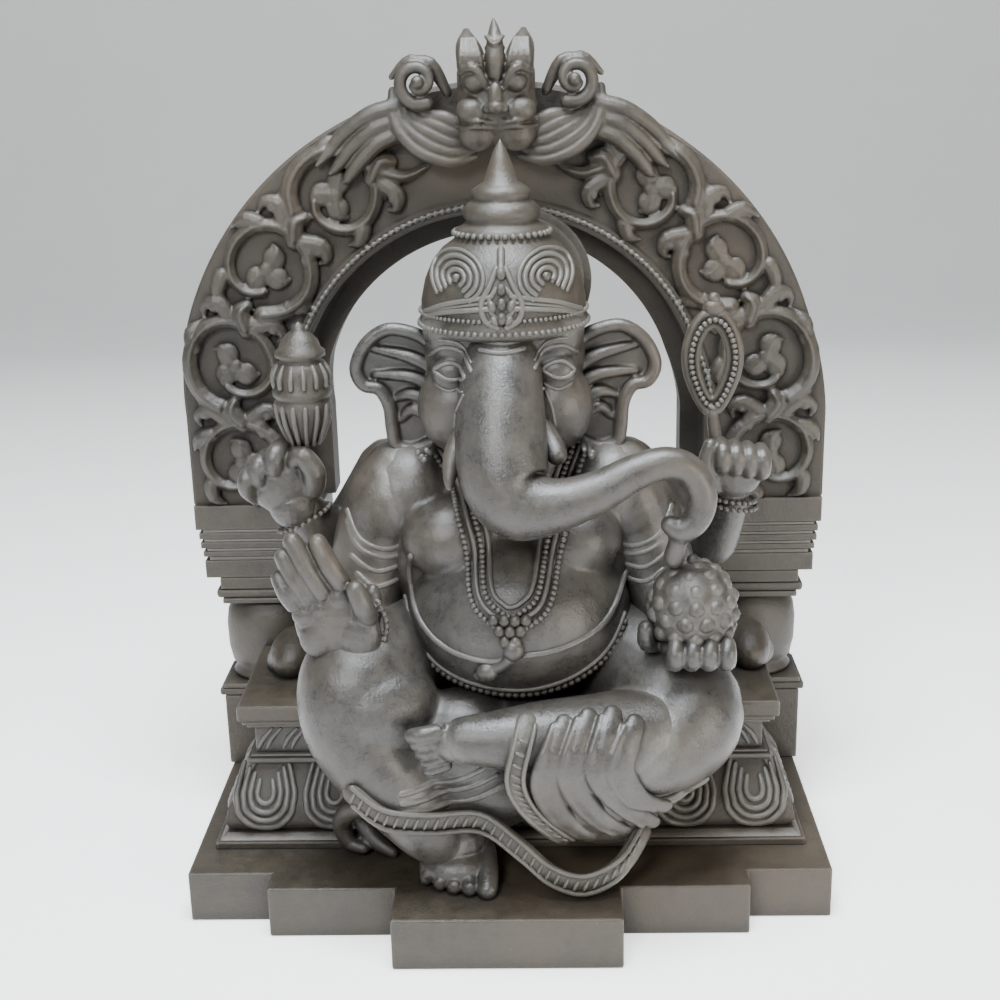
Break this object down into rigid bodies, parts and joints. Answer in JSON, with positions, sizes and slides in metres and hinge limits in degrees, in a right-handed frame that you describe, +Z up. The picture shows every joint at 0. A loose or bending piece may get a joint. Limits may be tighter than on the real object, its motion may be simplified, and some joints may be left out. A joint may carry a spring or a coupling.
{
  "type": "ganesha idol",
  "caption": "Seated elephant-headed figure in dark stone on a lotus pedestal, under a carved arch on two piers, on a stepped base slab.",
  "frame": {"origin": "middle of the base slab's underside", "axes": "+Z up, +X to the viewer's right, +Y towards the back"},
  "size_m": [0.64, 0.382, 0.809],
  "materials": {
    "stone_polished": "oiled and rubbed dark stone",
    "stone_carved": "fine carved dark stone, matt in the hollows",
    "stone_sawn": "honed dark stone with scratches"
  },
  "bodies": {
    "root": {"arch_left": "stone_carved", "arch_right": "stone_carved", "base_slab": "stone_sawn", "blessing_hand": "stone_polished", "crest": "stone_carved", "crown": "stone_carved", "crown_disc": "stone_carved", "dado_course": "stone_carved", "dhoti_folds": "stone_carved", "ear_left": "stone_polished", "ear_right": "stone_polished", "front_left_arm": "stone_polished", "front_right_arm": "stone_polished", "head": "stone_polished", "left_foot": "stone_polished", "left_shin": "stone_polished", "left_thigh": "stone_polished", "lotus_bud": "stone_carved", "lotus_course": "stone_carved", "noose": "stone_carved", "offering_hand": "stone_polished", "pedestal_foot": "stone_sawn", "pier_base_left": "stone_sawn", "pier_base_right": "stone_sawn", "pier_capital_left": "stone_sawn", "pier_capital_right": "stone_sawn", "pier_neck_left": "stone_sawn", "pier_neck_right": "stone_sawn", "pier_pot_left": "stone_sawn", "pier_pot_right": "stone_sawn", "rear_left_arm": "stone_polished", "rear_left_hand": "stone_polished", "rear_right_arm": "stone_polished", "rear_right_hand": "stone_polished", "right_foot": "stone_polished", "right_leg": "stone_polished", "sash_hem": "stone_carved", "seat_slab": "stone_sawn", "sweet_dome": "stone_carved", "torso": "stone_polished", "trunk": "stone_polished", "tusk_left": "stone_polished", "tusk_right": "stone_polished"}
  },
  "joints": []
}
